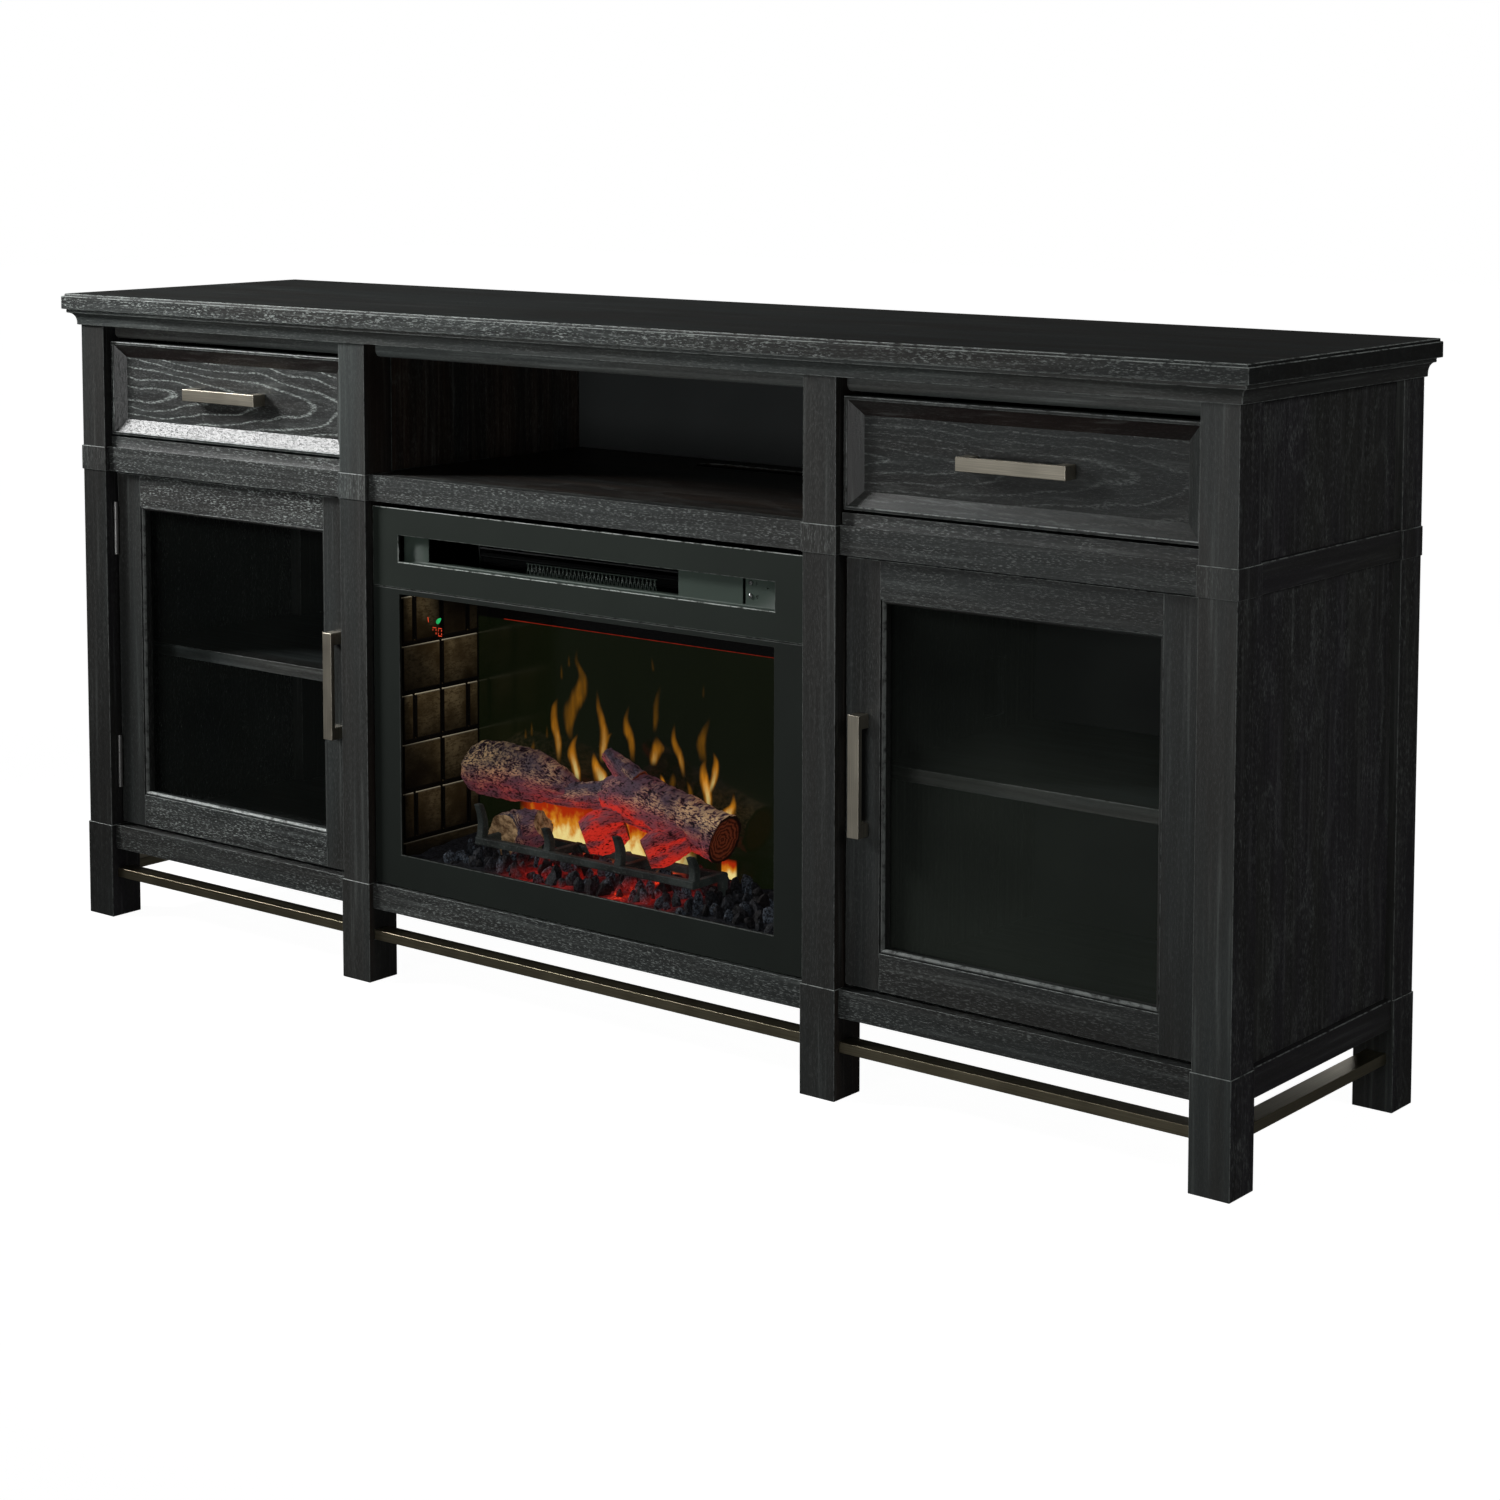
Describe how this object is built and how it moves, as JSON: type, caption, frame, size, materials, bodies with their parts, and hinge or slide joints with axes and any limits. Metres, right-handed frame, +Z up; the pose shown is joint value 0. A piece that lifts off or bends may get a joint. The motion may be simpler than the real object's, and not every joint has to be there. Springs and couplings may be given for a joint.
{
  "type": "fireplace tv stand",
  "caption": "Long low media console on square legs, with an electric fire in the middle under an open media bay, drawers and glazed doors at the sides.",
  "frame": {"origin": "on the floor, under the middle of the overall box", "axes": "+X to the right seen from the front, along the length; +Y to the back; +Z up"},
  "size_m": [1.7362, 0.412, 0.8196],
  "materials": {
    "charcoal_wood": "wire-brushed oak with a dark charcoal stain, pale flecks in the grain and lightly worn edges",
    "inside_wood": "dark stained board, satin",
    "back_board": "thin painted hardboard, matt",
    "bronze_bar": "aged bronze, satin",
    "nickel_pull": "warm brushed nickel",
    "smoked_glass": "clear glass with a light smoke tint",
    "hinge_steel": "antique nickel, satin",
    "black_steel": "matt black powder coat",
    "grey_panel": "grey powder coat",
    "fire_glass": "clear safety glass",
    "brick": "moulded brick pattern, matt",
    "dark_screen": "dark semi-mirror screen",
    "logs_and_embers": "moulded and painted logs, matt",
    "fan_metal": "plain sheet",
    "button_chrome": "bright plated"
  },
  "bodies": {
    "case": {"top_slab": "charcoal_wood", "cornice_moulding": "charcoal_wood", "frieze_rail": "charcoal_wood", "belt_rail": "charcoal_wood", "base_rail": "charcoal_wood", "front_post_right": "charcoal_wood", "front_post_left": "charcoal_wood", "inner_post_right": "charcoal_wood", "inner_post_left": "charcoal_wood", "rear_post_right": "charcoal_wood", "rear_post_left": "charcoal_wood", "side_panel_right": "charcoal_wood", "side_panel_left": "charcoal_wood", "side_belt_right": "charcoal_wood", "side_belt_left": "charcoal_wood", "side_base_rail_right": "charcoal_wood", "side_base_rail_left": "charcoal_wood", "partition_right": "inside_wood", "partition_left": "inside_wood", "deck": "inside_wood", "bottom_panel": "inside_wood", "shelf_right": "inside_wood", "shelf_left": "inside_wood", "drawer_track_right": "inside_wood", "drawer_track_left": "inside_wood", "back_panel": "back_board", "front_stretcher": "bronze_bar", "side_stretcher_right": "bronze_bar", "side_stretcher_left": "bronze_bar", "hinge_fixed_leaf_right_upper": "hinge_steel", "hinge_fixed_leaf_left_upper": "hinge_steel", "hinge_fixed_leaf_right_lower": "hinge_steel", "hinge_fixed_leaf_left_lower": "hinge_steel", "firebox_casing": "black_steel", "firebox_trim": "black_steel", "heater_fascia": "black_steel", "heater_panel": "grey_panel", "firebox_glass": "fire_glass", "brick_liner": "brick", "flame_screen": "dark_screen", "log_set": "logs_and_embers"},
    "drawer_right": {"drawer_front_right": "charcoal_wood", "drawer_box_right": "inside_wood", "drawer_pull_right": "nickel_pull"},
    "drawer_left": {"drawer_front_left": "charcoal_wood", "drawer_box_left": "inside_wood", "drawer_pull_left": "nickel_pull"},
    "door_right": {"door_frame_right": "charcoal_wood", "door_glass_right": "smoked_glass", "door_pull_right": "nickel_pull", "hinge_moving_leaf_right_upper": "hinge_steel", "hinge_moving_leaf_right_lower": "hinge_steel"},
    "door_left": {"door_frame_left": "charcoal_wood", "door_glass_left": "smoked_glass", "door_pull_left": "nickel_pull", "hinge_moving_leaf_left_upper": "hinge_steel", "hinge_moving_leaf_left_lower": "hinge_steel"},
    "blower": {"blower_wheel": "fan_metal"},
    "power": {"power_button": "button_chrome"},
    "mode": {"mode_button": "button_chrome"}
  },
  "joints": [
    {"name": "drawer_right_slide", "type": "slide", "parent": "case", "child": "drawer_right", "axis": [0, -1, 0], "range_m": [0, 0.25]},
    {"name": "drawer_left_slide", "type": "slide", "parent": "case", "child": "drawer_left", "axis": [0, -1, 0], "range_m": [0, 0.25]},
    {"name": "door_right_hinge", "type": "hinge", "parent": "case", "child": "door_right", "pos_m": [0.8031, -0.17435, 0.356], "axis": [0, 0, 1], "range_deg": [0, 105]},
    {"name": "door_left_hinge", "type": "hinge", "parent": "case", "child": "door_left", "pos_m": [-0.8031, -0.17435, 0.356], "axis": [0, 0, -1], "range_deg": [0, 105]},
    {"name": "blower_spin", "type": "hinge", "parent": "case", "child": "blower", "pos_m": [-0.054, -0.07785, 0.534], "axis": [1, 0, 0], "continuous": true},
    {"name": "power_button_press", "type": "slide", "parent": "case", "child": "power", "axis": [0, 1, 0], "range_m": [0, 0.001], "stiffness_N_per_m": 400, "springref_m": -0.0005},
    {"name": "mode_button_press", "type": "slide", "parent": "case", "child": "mode", "axis": [0, 1, 0], "range_m": [0, 0.001], "stiffness_N_per_m": 400, "springref_m": -0.0005}
  ]
}
